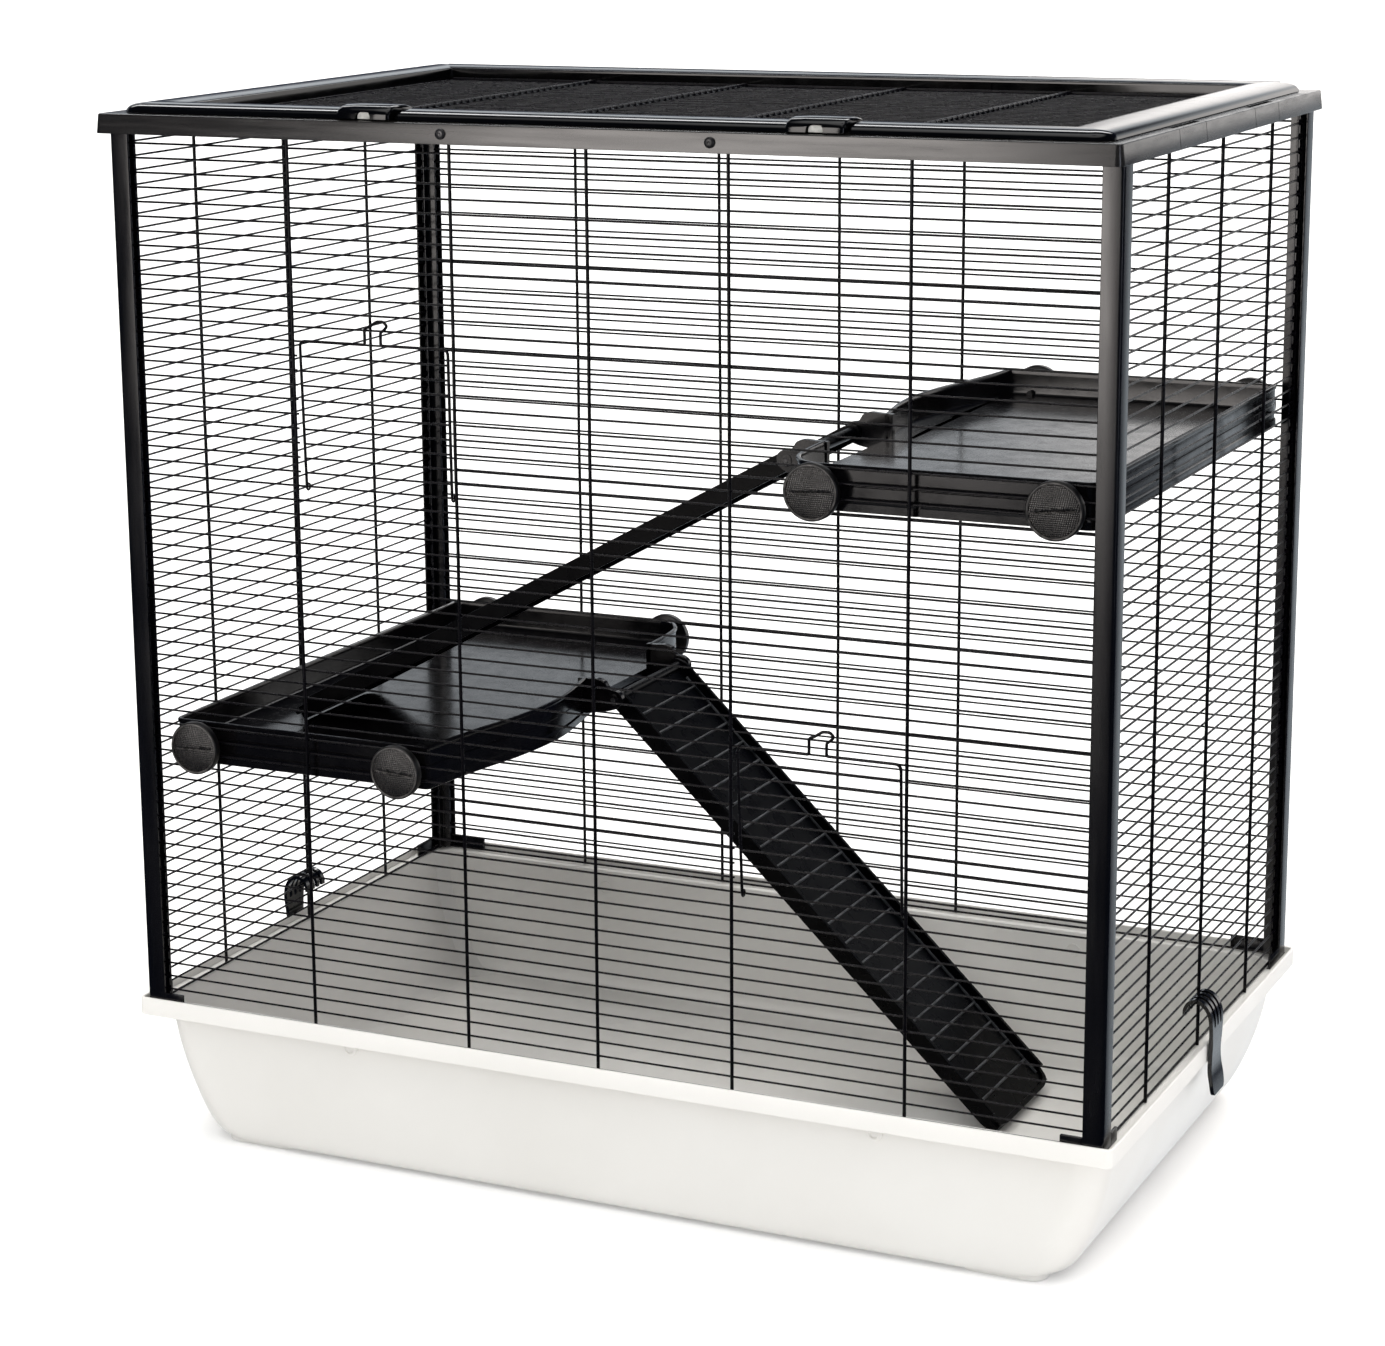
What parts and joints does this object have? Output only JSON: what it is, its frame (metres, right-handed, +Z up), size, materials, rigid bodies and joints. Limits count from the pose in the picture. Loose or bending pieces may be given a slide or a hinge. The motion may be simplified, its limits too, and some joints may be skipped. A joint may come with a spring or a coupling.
{
  "type": "ferret cage",
  "caption": "Tall wire pet cage on a moulded base tray, with corner posts, a hinged wire lid, wire doors, raised shelves held by thumb knobs, hinged ramps and side clips.",
  "frame": {"origin": "on the floor under the middle of the cage", "axes": "+Z up, +X to the right when facing the doors, -Y out of the front with the doors"},
  "size_m": [0.7944, 0.5008, 0.804],
  "materials": {
    "tray": "smooth off-white moulding with a soft sheen",
    "post": "satin black extrusion",
    "roof": "satin black moulding",
    "lid": "glossy black moulding",
    "shelf": "fine-grained black moulding",
    "ramp": "ribbed matt black moulding",
    "knob": "textured matt black",
    "clip": "glossy black moulding",
    "wire": "black coated steel wire",
    "steel": "darkened steel"
  },
  "bodies": {
    "tray": {"tray": "tray"},
    "cage": {"post_front_left": "post", "post_front_right": "post", "post_rear_left": "post", "post_rear_right": "post", "post_foot_front_left": "post", "post_foot_front_right": "post", "post_foot_rear_left": "post", "post_foot_rear_right": "post", "wire_panel_front": "wire", "wire_panel_back": "wire", "wire_panel_left": "wire", "wire_panel_right": "wire", "roof_frame": "roof", "roof_screw_front_left": "steel", "roof_screw_front_right": "steel", "roof_screw_back_left": "steel", "roof_screw_back_right": "steel", "lid_hinge_left": "roof", "lid_hinge_right": "roof", "shelf_lower": "shelf", "shelf_upper": "shelf", "ramp_pin_lower": "steel", "ramp_pin_upper": "steel"},
    "lid": {"lid_frame": "lid", "lid_wires": "wire"},
    "latch_left": {"lid_latch_left": "lid"},
    "latch_right": {"lid_latch_right": "lid"},
    "door_upper": {"door_upper": "wire"},
    "door_lower": {"door_lower": "wire"},
    "ramp_lower": {"ramp_lower": "ramp"},
    "ramp_upper": {"ramp_upper": "ramp"},
    "clip_left": {"tray_clip_left": "clip"},
    "clip_right": {"tray_clip_right": "clip"},
    "knob_lower_front_outer": {"knob_lower_front_outer": "knob"},
    "knob_lower_front_inner": {"knob_lower_front_inner": "knob"},
    "knob_lower_back_outer": {"knob_lower_back_outer": "knob"},
    "knob_lower_back_inner": {"knob_lower_back_inner": "knob"},
    "knob_upper_front_outer": {"knob_upper_front_outer": "knob"},
    "knob_upper_front_inner": {"knob_upper_front_inner": "knob"},
    "knob_upper_back_outer": {"knob_upper_back_outer": "knob"},
    "knob_upper_back_inner": {"knob_upper_back_inner": "knob"}
  },
  "joints": [
    {"name": "cage_lift", "type": "slide", "parent": "tray", "child": "cage", "axis": [0, 0, 1], "range_m": [0, 0.15]},
    {"name": "lid_hinge", "type": "hinge", "parent": "cage", "child": "lid", "pos_m": [0, 0.232, 0.7965], "axis": [-1, 0, 0], "range_deg": [0, 100]},
    {"name": "latch_left_pivot", "type": "hinge", "parent": "lid", "child": "latch_left", "pos_m": [-0.166, -0.209, 0.7975], "axis": [-1, 0, 0], "range_deg": [0, 80]},
    {"name": "latch_right_pivot", "type": "hinge", "parent": "lid", "child": "latch_right", "pos_m": [0.174, -0.209, 0.7975], "axis": [-1, 0, 0], "range_deg": [0, 80]},
    {"name": "door_upper_hinge", "type": "hinge", "parent": "cage", "child": "door_upper", "pos_m": [-0.1694, -0.2264, 0.52697], "axis": [1, 0, 0], "range_deg": [0, 110]},
    {"name": "door_lower_hinge", "type": "hinge", "parent": "cage", "child": "door_lower", "pos_m": [0.17425, -0.2264, 0.26212], "axis": [1, 0, 0], "range_deg": [0, 110]},
    {"name": "ramp_lower_pivot", "type": "hinge", "parent": "cage", "child": "ramp_lower", "pos_m": [-0.102, 0.0775, 0.3241], "axis": [0, -1, 0], "range_deg": [0, 45]},
    {"name": "ramp_upper_pivot", "type": "hinge", "parent": "cage", "child": "ramp_upper", "pos_m": [0.1115, -0.0775, 0.5557], "axis": [0, 1, 0], "range_deg": [0, 45]},
    {"name": "clip_left_pivot", "type": "hinge", "parent": "cage", "child": "clip_left", "pos_m": [-0.3774, 0, 0.14558], "axis": [0, 1, 0], "range_deg": [0, 45]},
    {"name": "clip_right_pivot", "type": "hinge", "parent": "cage", "child": "clip_right", "pos_m": [0.3774, 0, 0.14558], "axis": [0, -1, 0], "range_deg": [0, 45]},
    {"name": "knob_lower_front_outer_turn", "type": "hinge", "parent": "cage", "child": "knob_lower_front_outer", "pos_m": [-0.331, -0.2303, 0.3216], "axis": [0, 1, 0], "continuous": true},
    {"name": "knob_lower_front_inner_turn", "type": "hinge", "parent": "cage", "child": "knob_lower_front_inner", "pos_m": [-0.159, -0.2303, 0.3216], "axis": [0, 1, 0], "continuous": true},
    {"name": "knob_lower_back_outer_turn", "type": "hinge", "parent": "cage", "child": "knob_lower_back_outer", "pos_m": [-0.331, 0.2303, 0.3216], "axis": [0, 1, 0], "continuous": true},
    {"name": "knob_lower_back_inner_turn", "type": "hinge", "parent": "cage", "child": "knob_lower_back_inner", "pos_m": [-0.159, 0.2303, 0.3216], "axis": [0, 1, 0], "continuous": true},
    {"name": "knob_upper_front_outer_turn", "type": "hinge", "parent": "cage", "child": "knob_upper_front_outer", "pos_m": [0.3405, -0.2303, 0.5532], "axis": [0, 1, 0], "continuous": true},
    {"name": "knob_upper_front_inner_turn", "type": "hinge", "parent": "cage", "child": "knob_upper_front_inner", "pos_m": [0.1685, -0.2303, 0.5532], "axis": [0, 1, 0], "continuous": true},
    {"name": "knob_upper_back_outer_turn", "type": "hinge", "parent": "cage", "child": "knob_upper_back_outer", "pos_m": [0.3405, 0.2303, 0.5532], "axis": [0, 1, 0], "continuous": true},
    {"name": "knob_upper_back_inner_turn", "type": "hinge", "parent": "cage", "child": "knob_upper_back_inner", "pos_m": [0.1685, 0.2303, 0.5532], "axis": [0, 1, 0], "continuous": true}
  ]
}
